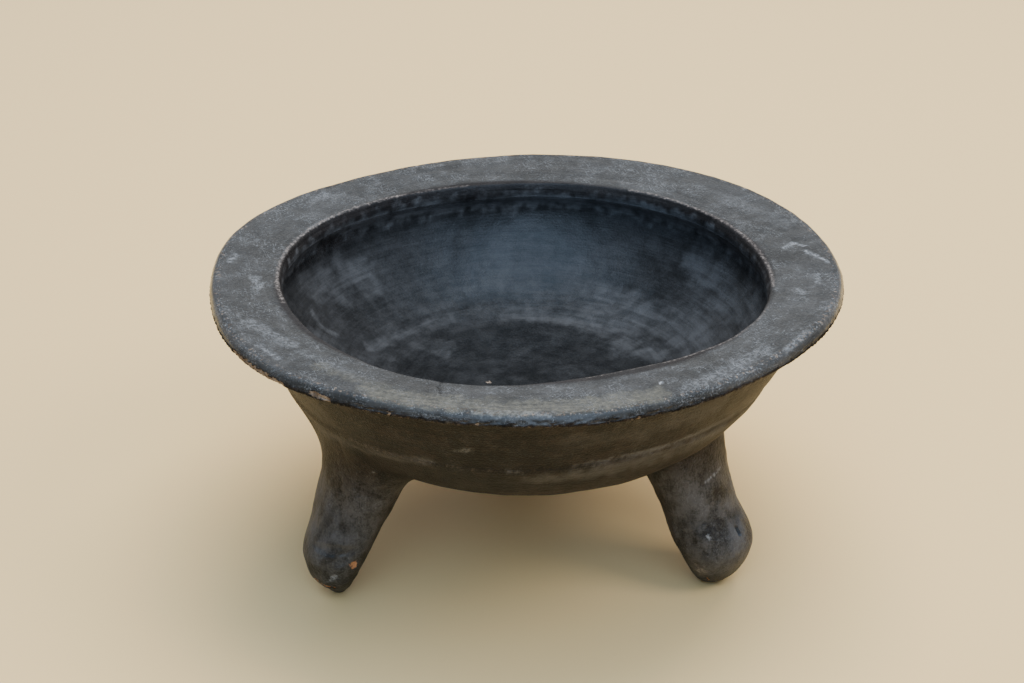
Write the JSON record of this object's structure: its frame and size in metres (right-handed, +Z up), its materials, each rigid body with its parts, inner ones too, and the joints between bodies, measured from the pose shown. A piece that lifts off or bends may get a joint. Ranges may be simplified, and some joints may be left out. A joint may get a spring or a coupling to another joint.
{
  "type": "tripod grinding bowl",
  "caption": "Round black clay grinding bowl with a wide flat rim, a dished floor and splayed hollow feet, for crushing chillies and spices.",
  "frame": {"origin": "on the ground under the middle of the bowl, in the plane of the three worn foot flats", "axes": "+Z up out of the mouth; -Y the front, between the left and right feet; +X to the right seen from the front"},
  "size_m": [0.2016, 0.2016, 0.0947],
  "materials": {
    "burnished_black_clay": "burnished satin, scuffed",
    "smoothed_black_clay": "smoothed matt"
  },
  "bodies": {
    "root": {"base_disc": "burnished_black_clay", "lower_wall": "burnished_black_clay", "upper_wall": "burnished_black_clay", "rim_flange": "burnished_black_clay", "foot_left": "smoothed_black_clay", "foot_right": "smoothed_black_clay", "foot_back": "smoothed_black_clay", "luting_coil_left": "smoothed_black_clay", "luting_coil_right": "smoothed_black_clay", "luting_coil_back": "smoothed_black_clay"}
  },
  "joints": []
}
